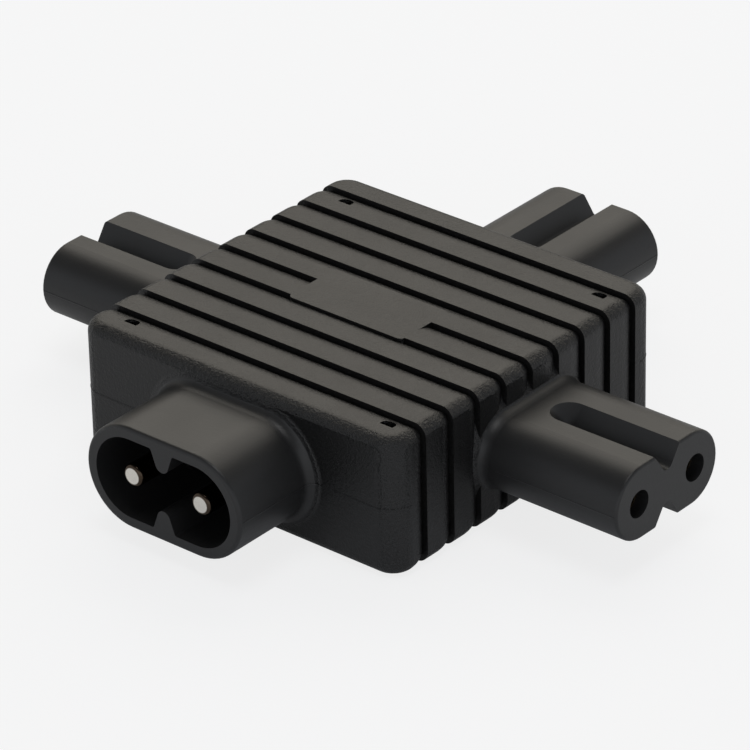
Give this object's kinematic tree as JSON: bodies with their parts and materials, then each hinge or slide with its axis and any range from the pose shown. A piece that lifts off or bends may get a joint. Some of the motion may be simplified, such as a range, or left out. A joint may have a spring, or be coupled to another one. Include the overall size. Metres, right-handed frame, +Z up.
{
  "type": "figure-eight mains splitter",
  "caption": "Black moulded splitter for figure-eight mains leads: a ribbed square block with a shrouded pin inlet on its front and outlet noses on its other sides.",
  "frame": {"origin": "on the standing plane, under the middle of the overall bounding box; the block's own middle, where the four connectors' axes cross, is at x = 0, y = -3.15 mm", "axes": "+Z up; the inlet points along -Y; the outlet noses point along +X, +Y and -X"},
  "size_m": [0.073, 0.0666, 0.015],
  "materials": {
    "housing": "black moulding, fine spark-eroded grain on the block, satin noses and shroud",
    "carrier": "plain moulded",
    "separator": "plain insulating sheet",
    "bus": "stamped sheet",
    "sleeve": "rolled spring sheet",
    "pin": "turned, bright nickel plate",
    "rivet": "turned and set"
  },
  "bodies": {
    "root": {"housing": "housing", "bus_separator": "separator", "carrier_lower": "carrier", "carrier_upper": "carrier", "line_bus": "bus", "neutral_bus": "bus", "right_line_sleeve": "sleeve", "right_neutral_sleeve": "sleeve", "back_line_sleeve": "sleeve", "back_neutral_sleeve": "sleeve", "left_line_sleeve": "sleeve", "left_neutral_sleeve": "sleeve", "front_line_pin": "pin", "front_neutral_pin": "pin", "right_line_rivet": "rivet", "right_neutral_rivet": "rivet", "back_line_rivet": "rivet", "back_neutral_rivet": "rivet", "left_line_rivet": "rivet", "left_neutral_rivet": "rivet", "front_line_rivet": "rivet", "front_neutral_rivet": "rivet"}
  },
  "joints": []
}
